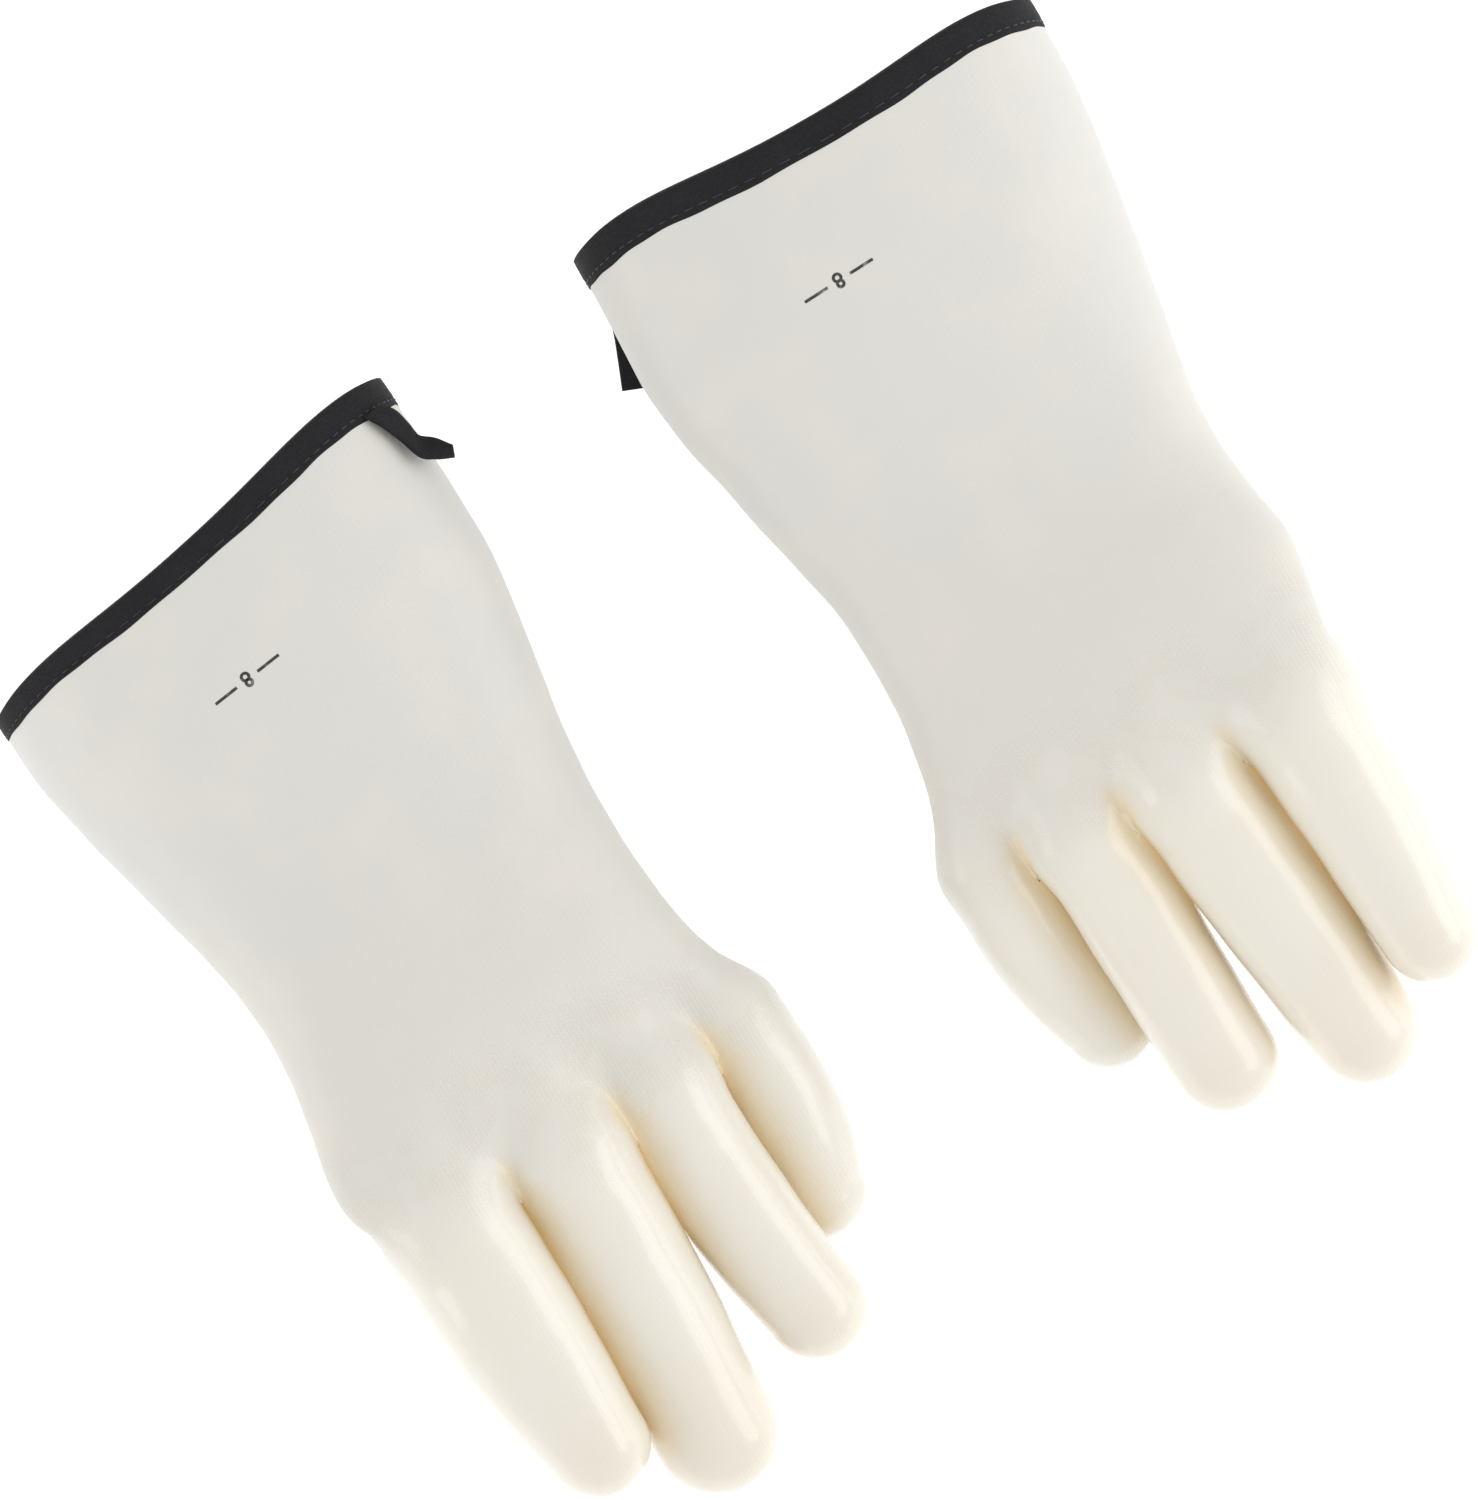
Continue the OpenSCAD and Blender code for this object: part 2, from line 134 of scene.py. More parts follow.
# knuckle, direction and distance to the middle joint; then length, half widths, half heights, shift of
# the middle line towards the thumb side, lift, and start of the finger's own skin
INDEX = ((33.4, -180, 49.4), (-1.6, -72, -5), 32.7)
MIDDLE = ((-0.8, -182, 43.8), (7.2, -83.5, -15), 39.4)
RING = ((-28.8, -180, 37.2), (-1.4, -74.5, -9.8), 34.0)
LITTLE = ((-53.6, -175.5, 26.4), (4.2, -57.5, -16.4), 25.5)
THUMB = ((37, -133, 22), (-9, -35, -9), 19.0)
ROOTS = {"index": (29, -152, 49.5), "middle": (0, -152, 45.5), "ring": (-25.5, -152, 39),
         "little": (-42, -148, 34.5), "thumb": (31, -121, 41)}
FINGERS = {
    "right": {
        "index": Finger("index", *INDEX, 78.2, (16.1, 15.0, 12.3), (15.4, 14.8, 12.8), (-2.6, -0.5, -0.3), 0.5),
        "middle": Finger("middle", *MIDDLE, 91.8, (15.6, 16.0, 13.8), (14.6, 15.2, 13.9), (0.3, 0.85, 0.6)),
        "ring": Finger("ring", *RING, 81.0, (14.4, 14.0, 13.2), (12.8, 13.5, 13.1), (0.8, 1.9, 2.9), -1.0),
        "little": Finger("little", *LITTLE, 63.4, (12.2, 13.3, 11.9), (12.2, 12.6, 11.6), (2.2, 0.7, 3.6), -0.8, 4.0),
        "thumb": Finger("thumb", *THUMB, 50.4, (12.6, 13.0, 12.6), (12.6, 13.0, 12.6), (0, 0, 0), 0.0, 3.0),
    },
    "left": {
        "index": Finger("index", *INDEX, 80.4, (16.7, 16.8, 13.2), (15.4, 15.4, 13.4), (-1.9, -0.9, -2.2)),
        "middle": Finger("middle", *MIDDLE, 95.4, (15.6, 16.2, 15.6), (14.6, 15.4, 14.8), (-0.3, -1.55, -2.4), 0.2),
        "ring": Finger("ring", *RING, 80.8, (14.2, 14.1, 12.9), (12.8, 13.5, 12.8), (-0.1, 0.0, -3.5), -1.2),
        "little": Finger("little", *LITTLE, 62.2, (12.2, 13.4, 12.0), (12.2, 12.6, 11.5), (1.4, -1.0, 1.2), -0.8, 4.0),
        "thumb": Finger("thumb", *THUMB, 50.4, (11.4, 12.7, 12.6), (11.4, 12.7, 12.6), (-1.6, -0.4, 0), 0.0, 3.0),
    },
}
FOUR = ("index", "middle", "ring", "little")
WRIST_Y = -107.0
WRIST_BEND = ((0, WRIST_Y - 15, 37), (0, WRIST_Y + 15, 37))
CUFF_SEAM_Y = -89.0
PARTED = (3.5, 15.0)
# A neighbour is drawn back this far from a finger meshed on its own
DRAWN_BACK = 16
# Reach of the rounding between palm and finger, finger and finger, and hand and thumb
WEB_ROUND, FINGER_ROUND, THUMB_ROUND = 7.0, 1.4, 8.0
# A finger keeps its skin this far from its own surface, and the thumb this far
FINGER_SKIN, THUMB_SKIN = 7, 4
# Past the web it also keeps what lies this deep under, or this far across into, its neighbour
UNDER, ACROSS = 0.8, 1.3
# Reach of the painted tan shade beside a higher finger, a lower one, and between two knuckles
SHADE_ABOVE, SHADE_BELOW, SHADE_KNUCKLES = 13, 5, 9
SLOPE_REACH = 0.05
SETTLE_ROUNDS = 3
GRID = np.array((1.15, 1.8, 1.15))
LOW = np.array((-74.0, -284.0, -2.0))
GRID_END = (129, 168, 63)


def smooth_table(x, stations, values):
    """Smooth curve through a table's rows."""
    slope = np.gradient(values, stations)
    i = np.clip(np.searchsorted(stations, x) - 1, 0, len(stations) - 2)
    step = stations[i + 1] - stations[i]
    t = np.clip((x - stations[i]) / step, 0, 1)
    return (values[i] * (1 + 2 * t) * (1 - t) ** 2 + slope[i] * step * t * (1 - t) ** 2
            + values[i + 1] * t * t * (3 - 2 * t) + slope[i + 1] * step * t * t * (t - 1))


def soft_min(a, b, reach):
    h = np.maximum(reach - np.abs(a - b), 0) / reach
    return np.minimum(a, b) - h * h * reach / 4


def soft_max(a, b, reach):
    return -soft_min(-a, -b, reach)


def section_at(station, side):
    """Centre x, centre z, half width, half height and roll of the section at a station."""
    xc, zc, hw, hh, roll = (smooth_table(station, SECTIONS[:, 0], SECTIONS[:, i]) for i in range(1, 6))
    own = OWN_SHAPE[side]
    xc = xc + smooth_table(station, own[:, 0], own[:, 1])
    hw = hw + smooth_table(station, own[:, 0], own[:, 2])
    return xc, zc, hw, hh, np.radians(roll)


def rim_shift(side, x, wave):
    lift, slant, swing = RIM[side]
    return lift - slant / CUFF_WIDTH * x + swing * wave


def skin_point(side, station, depth, angle):
    """Point of the cuff or hand at a station, a depth under the skin, at an angle round the section."""
    station = np.broadcast_to(np.asarray(station, float), np.broadcast(station, depth, angle).shape)
    xc, zc, hw, hh, roll = section_at(np.clip(station, -180, 12), side)
    c, s = np.cos(angle), np.sin(angle)
    u = (hw - depth) * np.sign(c) * np.abs(c) ** 0.88
    v = (hh - depth) * np.sign(s) * np.abs(s) ** 0.88
    x = xc + u * np.cos(roll) - v * np.sin(roll)
    z = zc + u * np.sin(roll) + v * np.cos(roll)
    share = np.clip(1 + station / RIM_REACH, 0, 1)
    return np.stack([x, station + share * rim_shift(side, x, np.sin(2 * angle) ** 2), z], -1)


def hand_field(p, side):
    """Distance to the skin of cuff and palm, and the station of each point."""
    x, y, z = p.T
    station = y
    for _ in range(2):
        xc, zc, hw, hh, roll = section_at(np.clip(station, -180, 12), side)
        c, s = np.cos(roll), np.sin(roll)
        u = np.abs((x - xc) * c + (z - zc) * s) / hw
        v = np.abs((z - zc) * c - (x - xc) * s) / hh
        a, b = u ** OVAL_POWER, v ** OVAL_POWER
        shift = rim_shift(side, x, 4 * a * b / np.maximum((a + b) ** 2, 1e-9))
        near = (y - shift) / (1 + shift / RIM_REACH)
        station = np.where(y > shift, y - shift, np.where(near > -RIM_REACH, near, y))
    g = np.maximum(a + b, 1e-9) ** (1 / OVAL_POWER)
    gu = g ** (1 - OVAL_POWER) * u ** (OVAL_POWER - 1) / hw
    gv = g ** (1 - OVAL_POWER) * v ** (OVAL_POWER - 1) / hh
    d = np.clip((g - 1) / np.maximum(np.hypot(gu, gv), 1e-3), -25, 60)
    end = PALM_END + 7 * np.clip((-x - 18) / 34, 0, 1) ** 1.5
    return soft_max(d, end - y, 13.0), station


def through_three(values, t):
    """Even curve through values at 0, a half and 1."""
    a, b, c = values
    return a + (4 * b - 3 * a - c) * t + (2 * a + 2 * c - 4 * b) * t * t


def finger_field(p, finger):
    """Distance to a finger's skin with its root in the palm, and the distance along its axis."""
    q = p - finger.knuckle
    s = q @ finger.along
    t = np.clip(s / finger.straight, 0, 1)
    aside = q @ finger.thumbward - through_three(finger.shift, t)
    up = q @ finger.upward - 4 * t * (1 - t) - finger.lift * np.clip(s / 20, 0, 1)
    w, h = through_three(finger.widths, t), through_three(finger.heights, t)
    beyond = np.where(s < 0, s, np.maximum(s - finger.straight, 0))
    tube = np.sqrt((aside * h / w) ** 2 + up ** 2 + beyond ** 2) - h
    back = finger.knuckle - finger.root
    near = np.clip(((p - finger.root) @ back) / (back @ back), 0, 1)
    stub = np.linalg.norm(p - finger.root - near[:, None] * back, axis=1) - finger.stub * (0.8 + 0.2 * near)
    return soft_min(tube, stub, 6.0), s


def lumps(p, side):
    """Slight unevenness of the dipped rubber."""
    x, y, z = (p + (40 if side == "left" else 0)).T
    even = np.clip((-14 - p[:, 1]) / 14, 0, 1)
    return even * (0.16 * np.sin(x / 7.3 + np.sin(y / 11.0)) * np.sin(y / 9.1 + z / 8.0)
                   + 0.10 * np.sin(x / 3.9 + y / 5.2) * np.sin(z / 4.4 - y / 6.3))


def beyond_web(found, side, a, b):
    """Distance past the seams of both of two fingers."""
    return np.minimum(found[a][1] - FINGERS[side][a].seam, found[b][1] - FINGERS[side][b].seam)


def parting(beyond):
    """How far a neighbour is drawn back from a finger's own skin."""
    t = np.clip((beyond - PARTED[0]) / (PARTED[1] - PARTED[0]), 0, 1)
    return DRAWN_BACK * t * t * (3 - 2 * t)


def glove_field(p, side, alone=None, parts=False):
    """Distance to the glove's whole skin; alone names a finger whose neighbours are drawn back from it.

    With parts, also the station and each finger's own field.
    """
    palm, station = hand_field(p, side)
    found = {name: finger_field(p, finger) for name, finger in FINGERS[side].items()}
    whole = None
    for name in FOUR:
        own = found[name][0]
        if alone and name != alone:
            own = own + parting(beyond_web(found, side, alone, name))
        joined = soft_min(palm, own, WEB_ROUND)
        whole = joined if whole is None else soft_min(whole, joined, FINGER_ROUND)
    whole = soft_min(whole, found["thumb"][0], THUMB_ROUND) + lumps(p, side)
    return (whole, station, found) if parts else whole


def sampled_field(side, low, high, alone):
    """The field on the grid between two corners given in whole steps, slab by slab."""
    axes = [LOW[i] + GRID[i] * np.arange(low[i], high[i] + 1) for i in range(3)]
    xs, zs = np.meshgrid(axes[0], axes[2], indexing="ij")
    values = np.empty([len(a) for a in axes])
    for j, y in enumerate(axes[1]):
        p = np.stack([xs.ravel(), np.full(xs.size, y), zs.ravel()], 1)
        values[:, j, :] = glove_field(p, side, alone).reshape(xs.shape)
    return values


def net_surface(values, low):
    """Points, cells and quads of the surface where the sampled values change sign."""
    inside = values < 0
    nx, ny, nz = values.shape
    corners = [(a, b, c) for a in (0, 1) for b in (0, 1) for c in (0, 1)]
    crossed = np.zeros((nx - 1, ny - 1, nz - 1), bool)
    first = inside[:-1, :-1, :-1]
    for a, b, c in corners:
        crossed |= inside[a:nx - 1 + a, b:ny - 1 + b, c:nz - 1 + c] != first
    cells = np.argwhere(crossed)
    index = np.full(crossed.shape, -1)
    index[crossed] = np.arange(len(cells))
    at = {k: values[cells[:, 0] + k[0], cells[:, 1] + k[1], cells[:, 2] + k[2]] for k in corners}
    total = np.zeros((len(cells), 3))
    count = np.zeros(len(cells))
    for k in corners:
        for axis in range(3):
            if k[axis]:
                continue
            far = tuple(1 if i == axis else k[i] for i in range(3))
            a, b = at[k], at[far]
            cross = (a < 0) != (b < 0)
            t = np.where(cross, a / np.where(a == b, 1, a - b), 0)
            total += np.where(cross[:, None], np.array(k) + np.eye(3)[axis] * t[:, None], 0)
            count += cross
    points = (cells + low + total / count[:, None]) * GRID + LOW
    quads = []
    for axis in range(3):
        o1, o2 = ((1, 2), (2, 0), (0, 1))[axis]
        here = [slice(None)] * 3
        there = [slice(None)] * 3
        here[axis], there[axis] = slice(0, -1), slice(1, None)
        edges = np.argwhere(inside[tuple(here)] != inside[tuple(there)])
        ok = (edges[:, o1] > 0) & (edges[:, o2] > 0)
        ok &= (edges[:, o1] < crossed.shape[o1]) & (edges[:, o2] < crossed.shape[o2])
        edges = edges[ok]
        ring = []
        for i, j in ((1, 1), (0, 1), (0, 0), (1, 0)):
            cell = edges.copy()
            cell[:, o1] -= i
            cell[:, o2] -= j
            ring.append(index[tuple(cell.T)])
        quad = np.stack(ring, 1)
        out = ~inside[tuple(edges.T)]
        quad[out] = quad[out][:, ::-1]
        quads.append(quad)
    quads = np.concatenate(quads)
    return points, cells + low, quads[(quads >= 0).all(1)]


def field_slope(p, side, alone=None):
    slope = np.empty_like(p)
    for i in range(3):
        step = np.eye(3)[i] * SLOPE_REACH
        slope[:, i] = (glove_field(p + step, side, alone) - glove_field(p - step, side, alone)) / (2 * SLOPE_REACH)
    return slope


def settle(points, quads, side, alone):
    """Evens out the net and puts its points back on the surface."""
    for _ in range(SETTLE_ROUNDS):
        total = np.zeros_like(points)
        count = np.zeros(len(points))
        for a, b in ((0, 1), (1, 2), (2, 3), (3, 0)):
            for i, j in ((a, b), (b, a)):
                np.add.at(total, quads[:, i], points[quads[:, j]])
                np.add.at(count, quads[:, i], 1)
        points = points + 0.5 * (total / np.maximum(count, 1)[:, None] - points)
        slope = field_slope(points, side, alone)
        step = np.clip(glove_field(points, side, alone) / np.maximum((slope ** 2).sum(1), 0.05), -1.2, 1.2)
        points = points - slope * step[:, None]
    return points


def skin_of(side, low, high, alone=None):
    """Points, their grid keys, normals and quads of the skin inside a block of the grid."""
    points, cells, quads = net_surface(sampled_field(side, low, high, alone), low)
    points = settle(points, quads, side, alone)
    normals = field_slope(points, side, alone)
    normals /= np.linalg.norm(normals, axis=1)[:, None]
    return points, cells @ (1, 1000, 1000000), normals, quads


def past_web(p, side, name):
    """How far points lie past the web between a finger and the one nearest to it."""
    _, _, found = glove_field(p, side, parts=True)
    others = [n for n in FOUR if n != name]
    nearest = np.argmin([found[n][0] for n in others], axis=0)
    return np.choose(nearest, [beyond_web(found, side, name, n) for n in others])


@functools.lru_cache(maxsize=None)
def glove_skin(side):
    """Skin pieces of a glove by name: points, normals, quads and how deep each point lies between fingers, the mask of
    their painted shade.
    """
    points, keys, normals, quads = skin_of(side, (0, 0, 0), GRID_END)
    _, station, found = glove_field(points, side, parts=True)
    quads = quads[(station[quads] < 0.3).all(1)]
    centre = points[quads].mean(1)
    _, _, at_centre = glove_field(centre, side, parts=True)
    names = list(at_centre)
    nearest = np.argmin([at_centre[n][0] for n in names], axis=0)
    hand = centre[:, 1] <= CUFF_SEAM_Y
    pieces = {"cuff": (points, normals, quads[~hand])}
    for i, name in enumerate(names):
        finger = FINGERS[side][name]
        own, s = at_centre[name]
        mine = (nearest == i) & (s > finger.seam) & (own < (THUMB_SKIN if name == "thumb" else FINGER_SKIN))
        hand &= ~mine
        if name == "thumb":
            pieces["thumb"] = (points, normals, quads[mine])
            continue
        ends = np.array([finger.point(finger.seam - 6), finger.point(finger.straight)])
        low = np.maximum(np.floor((ends.min(0) - 24 - LOW) / GRID), 0).astype(int)
        high = np.minimum(np.ceil((ends.max(0) + 24 - LOW) / GRID), GRID_END).astype(int)
        own_points, own_keys, own_normals, own_quads = skin_of(side, low, high, name)
        # as far as the web reaches, the finger has the very points of the hand's skin
        _, here, there = np.intersect1d(own_keys, keys, return_indices=True)
        same = past_web(own_points[here], side, name) < PARTED[0] - 0.5
        own_points[here[same]] = points[there[same]]
        own_normals[here[same]] = normals[there[same]]
        centre_own = own_points[own_quads].mean(1)
        _, _, at_own = glove_field(centre_own, side, parts=True)
        own, s = at_own[name]
        rest = np.min([at_own[n][0] for n in names if n != name], axis=0)
        covered = ((own < UNDER) | (own < rest + ACROSS)) & (past_web(centre_own, side, name) > PARTED[0])
        mine = (s > finger.seam) & (own < FINGER_SKIN) & ((own <= rest) | covered)
        tip = s > finger.joint - 9
        pieces[name + "_lower"] = (own_points, own_normals, own_quads[mine & ~tip])
        pieces[name + "_tip"] = (own_points, own_normals, own_quads[mine & tip])
    pieces["hand"] = (points, normals, quads[hand])
    return {name: shaded(side, name, *piece) for name, piece in pieces.items()}


def shaded(side, name, points, normals, quads):
    """Keeps the points in use and adds how deep each lies in the hollow beside a higher finger: the mask of the painted
    tan shade and painted emission there.
    """
    used, faces = np.unique(quads, return_inverse=True)
    points, normals = points[used], normals[used]
    _, _, found = glove_field(points, side, parts=True)
    own = [found[n][0] for n in FOUR]
    finger = name.split("_")[0]
    if finger in FOUR:
        k = FOUR.index(finger)
        beside = own[k - 1] if k else np.full(len(points), 99.0)
        under = own[k + 1] if k < 3 else np.full(len(points), 99.0)
        crevice = np.maximum(np.clip(1 - beside / SHADE_ABOVE, 0, 1), np.clip(1 - under / SHADE_BELOW, 0, 1))
    else:
        second = np.sort(own, axis=0)[1]
        beyond = np.max([found[n][1] for n in FOUR], axis=0)
        crevice = np.clip(1 - second / SHADE_KNUCKLES, 0, 1) * np.clip((beyond + 14) / 12, 0, 1)
    return points, normals, faces.reshape(quads.shape), crevice


# ---------------------------------------------------------------- meshes and pieces


def to_frame(side, p):
    """Puts points of the glove's own frame, in millimetres, into the row frame, in metres."""
    p = np.array(p, float)
    p[..., 0] = SIDES[side] * (p[..., 0] + GLOVE_PITCH / 2)
    p[..., 1] += MOUTH_Y
    return p * MM


def turn(side, v):
    v = np.array(v, float)
    v[..., 0] *= SIDES[side]
    return v


def make_piece(side, name, points, faces, material, normals=None, values=None, body=None):
    """Adds a mesh given in the glove's frame as a piece, with its rest place stored for the textures."""
    mesh = bpy.data.meshes.new(f"{side}_{name}")
    faces = np.asarray(faces)
    if side == "left":
        faces = faces[:, ::-1]
    mesh.from_pydata(to_frame(side, points).tolist(), [], faces.tolist())
    mesh.polygons.foreach_set("use_smooth", [True] * len(mesh.polygons))
    rest = mesh.attributes.new("rest", "FLOAT_VECTOR", "POINT")
    rest.data.foreach_set("vector", (np.asarray(points, float) * MM).astype(np.float32).ravel())
    for key, data in (values or {}).items():
        layer = mesh.attributes.new(key, "FLOAT", "POINT")
        layer.data.foreach_set("value", np.asarray(data, np.float32))
    mesh.materials.append(material)
    if normals is not None:
        mesh.normals_split_custom_set_from_vertices(turn(side, normals).tolist())
    mesh.update()
    piece = bpy.data.objects.new(f"{side}_{name}", mesh)
    bpy.context.scene.collection.objects.link(piece)
    if body:
        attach(piece, f"{side}_{body}")
    return piece


def skin_piece(side, name, label, material):
    """One piece of the glove's skin, cut from the whole along its quads."""
    points, normals, faces, crevice = glove_skin(side)[label]
    return make_piece(side, name, points, faces, material, normals, {"crevice": crevice})


def bend(piece, side, a, b, start, end):
    to_frame(side, start)
    to_frame(side, end)
    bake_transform(piece)


def stand_for(piece, side, *nodes):
    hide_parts(*(f"{side}_{n}" for n in nodes))


# ---------------------------------------------------------------- materials


def srgb(*rgb):
    """Linear colour of 0-255 values."""
    return tuple((c / 255 / 12.92) if c <= 10 else ((c / 255 + 0.055) / 1.055) ** 2.4 for c in rgb)


def add(tree, kind, label=None, **inputs):
    node = tree.nodes.new(kind)
    if label:
        node.label = label
    for key, value in inputs.items():
        node.inputs[key].default_value = value
    return node


def join(tree, *pairs):
    for out, into in pairs:
        tree.links.new(out, into)


def math_node(tree, operation, a, b=None):
    node = tree.nodes.new("ShaderNodeMath")
    node.operation = operation
    for socket, value in zip(node.inputs, (a, b)):
        if value is None:
            continue
        if isinstance(value, (int, float)):
            socket.default_value = value
        else:
            tree.links.new(value, socket)
    return node.outputs[0]


def ranged(tree, value, low, high, to_low=0.0, to_high=1.0):
    """The value carried smoothly from one range to another."""
    node = tree.nodes.new("ShaderNodeMapRange")
    node.interpolation_type = "SMOOTHSTEP"
    tree.links.new(value, node.inputs["Value"])
    for key, v in (("From Min", low), ("From Max", high), ("To Min", to_low), ("To Max", to_high)):
        node.inputs[key].default_value = v
    return node.outputs[0]


def mixed(tree, factor, a, b):
    node = tree.nodes.new("ShaderNodeMix")
    node.data_type = "RGBA"
    for key, value in ((0, factor), (6, a), (7, b)):
        socket = node.inputs[key]
        if isinstance(value, (int, float)):
            socket.default_value = value
        elif isinstance(value, tuple):
            socket.default_value = (*value, 1.0)
        else:
            tree.links.new(value, socket)
    return node.outputs[2]


def group(name, ins, outs):
    """An empty shader node group with named sockets."""
    tree = bpy.data.node_groups.new(name, "ShaderNodeTree")
    for key, kind, default in ins:
        socket = tree.interface.new_socket(key, in_out="INPUT", socket_type=kind)
        if default is not None:
            socket.default_value = default
    for key, kind in outs:
        tree.interface.new_socket(key, in_out="OUTPUT", socket_type=kind)
    return tree, tree.nodes.new("NodeGroupInput"), tree.nodes.new("NodeGroupOutput")


def placed(tree, name, **inputs):
    node = tree.nodes.new("ShaderNodeGroup")
    node.node_tree = bpy.data.node_groups[name]
    for key, value in inputs.items():
        socket = node.inputs[key.replace("_", " ")]
        if isinstance(value, (int, float)):
            socket.default_value = value
        else:
            tree.links.new(value, socket)
    return node


def knit_group():
    """Columns of V-shaped stitches that run along the glove, and a mask of their hollows for painted shade."""
    tree, into, out = group("Knit relief", [("Place", "NodeSocketVector", None), ("Wale", "NodeSocketFloat", 0.0011),
                                            ("Course", "NodeSocketFloat", 0.00085)],
                            [("Height", "NodeSocketFloat"), ("Gap", "NodeSocketFloat")])
    split = tree.nodes.new("ShaderNodeSeparateXYZ")
    join(tree, (into.outputs["Place"], split.inputs[0]))
    column = math_node(tree, "DIVIDE", split.outputs["X"], into.outputs["Wale"])
    row = math_node(tree, "DIVIDE", split.outputs["Y"], into.outputs["Course"])
    lean = math_node(tree, "PINGPONG", column, 0.5)
    slanted = math_node(tree, "ADD", row, math_node(tree, "MULTIPLY", lean, 1.6))
    loop = math_node(tree, "SINE", math_node(tree, "MULTIPLY", slanted, math.tau))
    wale = math_node(tree, "SINE", math_node(tree, "MULTIPLY", column, math.tau))
    height = math_node(tree, "ADD", math_node(tree, "MULTIPLY", loop, 0.5), math_node(tree, "MULTIPLY", wale, 0.35))
    gap_shade = ranged(tree, height, -0.2, -0.75)
    join(tree, (height, out.inputs["Height"]), (gap_shade, out.inputs["Gap"]))


def mottle_group():
    """Cloudy unevenness at a chosen scale."""
    tree, into, out = group("Mottle", [("Place", "NodeSocketVector", None), ("Scale", "NodeSocketFloat", 60.0)],
                            [("Cloud", "NodeSocketFloat"), ("Patch", "NodeSocketFloat"), ("Grain", "NodeSocketFloat")])
    for name, detail, finer in (("Cloud", 3.0, 1.0), ("Patch", 1.0, 2.6), ("Grain", 2.0, 14.0)):
        texture = add(tree, "ShaderNodeTexNoise", name, Detail=detail)
        join(tree, (into.outputs["Place"], texture.inputs["Vector"]),
             (math_node(tree, "MULTIPLY", into.outputs["Scale"], finer), texture.inputs["Scale"]),
             (texture.outputs["Fac"], out.inputs[name]))


def shade(colour, share):
    return tuple(c * share for c in colour)


def new_material(name):
    """The gloves' colours, and a material with its Principled shader and the stored rest place."""
    material = bpy.data.materials.new(name)
    material.use_nodes = True
    tree = material.node_tree
    shader = tree.nodes["Principled BSDF"]
    place = tree.nodes.new("ShaderNodeAttribute")
    place.attribute_name = "rest"
    return bpy.context.scene.glove_colours, material, tree, shader, place.outputs["Vector"]


def bumped(tree, shader, height, strength, distance):
    bump = add(tree, "ShaderNodeBump", Strength=strength, Distance=distance)
    join(tree, (height, bump.inputs["Height"]), (bump.outputs["Normal"], shader.inputs["Normal"]))


@functools.lru_cache(maxsize=None)
def rubber_material():
    """Semi-gloss dipped rubber: greyer and duller on the cuff, creamier and glossier on the fingers."""
    colours, material, tree, shader, place = new_material("dipped_rubber")
    split = tree.nodes.new("ShaderNodeSeparateXYZ")
    join(tree, (place, split.inputs[0]))
    along = split.outputs["Y"]
    mottle = placed(tree, "Mottle", Place=place, Scale=38.0)
    colour = mixed(tree, ranged(tree, along, -0.06, -0.15), tuple(colours.cuff), tuple(colours.palm))
    colour = mixed(tree, ranged(tree, along, -0.155, -0.2), colour, tuple(colours.finger))
    colour = mixed(tree, ranged(tree, along, -0.225, -0.265), colour, tuple(colours.tip))
    colour = mixed(tree, ranged(tree, mottle.outputs["Cloud"], 0.4, 0.75, 0.0, 0.3), colour, tuple(colours.cloud))
    # painted shade: a tan tint where fingers lie close together stands in for shadow and light bounced between them
    crevice = tree.nodes.new("ShaderNodeAttribute")
    crevice.attribute_name = "crevice"
    painted_shade = ranged(tree, crevice.outputs["Fac"], 0.1, 0.95, 0.0, 1.0)
    colour = mixed(tree, painted_shade, colour, tuple(colours.crevice))

    # the liner's stitches show through most over the knuckles
    knit = placed(tree, "Knit relief", Place=place)
    before = ranged(tree, along, -0.135, -0.16)
    after = ranged(tree, along, -0.172, -0.2, 1.0, 0.25)
    patchy = ranged(tree, mottle.outputs["Patch"], 0.42, 0.6, 0.25, 1.0)
    shown = math_node(tree, "MULTIPLY", math_node(tree, "MULTIPLY", before, after), patchy)
    shown = math_node(tree, "MAXIMUM", shown, 0.16)
    # painted shade in the knit's hollows, in the same tan colour as between the fingers
    gap_shade = math_node(tree, "MULTIPLY", knit.outputs["Gap"], math_node(tree, "MULTIPLY", shown, 0.42))
    colour = mixed(tree, gap_shade, colour, tuple(colours.crevice))
    join(tree, (colour, shader.inputs["Base Color"]))

    # painted light: a faint emission where two fingers meet stands in for light coming through the rubber
    shader.inputs["Emission Color"].default_value = (*colours.painted_glow, 1)
    join(tree, (ranged(tree, crevice.outputs["Fac"], 0.8, 1.0, 0.0, 0.16), shader.inputs["Emission Strength"]))

    dull = ranged(tree, along, -0.15, -0.2, 0.5, 0.33)
    dull = math_node(tree, "ADD", dull, ranged(tree, mottle.outputs["Grain"], 0.3, 0.7, -0.04, 0.05))
    join(tree, (dull, shader.inputs["Roughness"]))
    join(tree, (ranged(tree, along, -0.155, -0.195, 0.12, 0.9), shader.inputs["Coat Weight"]))
    shader.inputs["Coat Roughness"].default_value = 0.16
    shader.inputs["IOR"].default_value = 1.46
    relief = math_node(tree, "MULTIPLY", knit.outputs["Height"], math_node(tree, "MULTIPLY", shown, 1.6))
    relief = math_node(tree, "ADD", relief, math_node(tree, "MULTIPLY", mottle.outputs["Grain"], 0.7))
    bumped(tree, shader, relief, 0.35, 0.00012)
    return material


